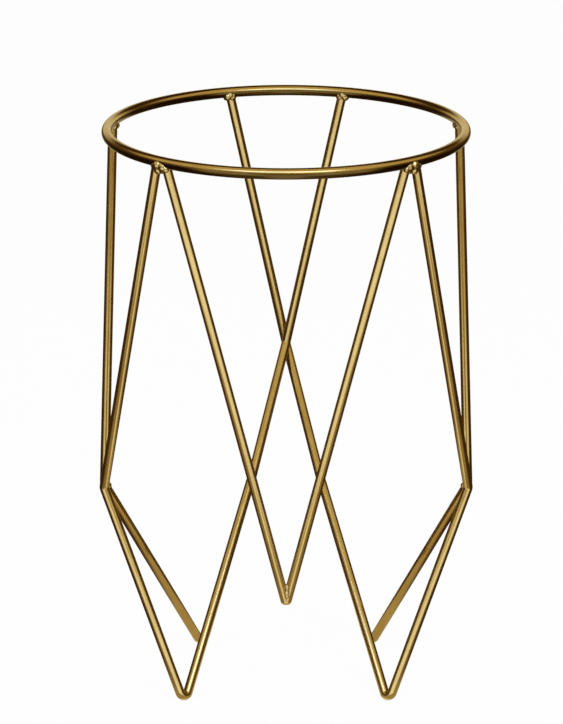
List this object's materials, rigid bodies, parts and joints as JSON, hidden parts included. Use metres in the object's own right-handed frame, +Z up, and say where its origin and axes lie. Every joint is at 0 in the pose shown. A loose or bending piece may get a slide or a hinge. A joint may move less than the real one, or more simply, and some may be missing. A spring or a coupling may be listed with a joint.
{
  "type": "plant stand",
  "caption": "Round wire plant stand: a plain ring on rods that form an open zigzag frame, welded at the ring, the knees, the rear crossing and the front vee.",
  "frame": {"origin": "middle of the stand's outline, on the floor it stands on", "axes": "+Z up; -Y is the front, where the vee hangs between the two front feet; +X is the stand's right side as seen from the front"},
  "size_m": [0.2048, 0.2, 0.311],
  "materials": {
    "ring": "antique brass, satin",
    "rods": "antique brass, satin",
    "welds": "antique brass, rough bead"
  },
  "bodies": {
    "root": {"top_ring": "ring", "left_vee_rod": "rods", "right_vee_rod": "rods", "left_long_wire": "rods", "right_long_wire": "rods", "left_short_wire": "rods", "right_short_wire": "rods", "weld_vee_tip": "welds", "weld_front_left": "welds", "weld_front_right": "welds", "weld_side_left": "welds", "weld_side_right": "welds", "weld_rear_left": "welds", "weld_rear_right": "welds", "weld_knee_left": "welds", "weld_knee_right": "welds", "weld_rear_crossing": "welds", "weld_brace_left": "welds", "weld_brace_right": "welds"}
  },
  "joints": []
}
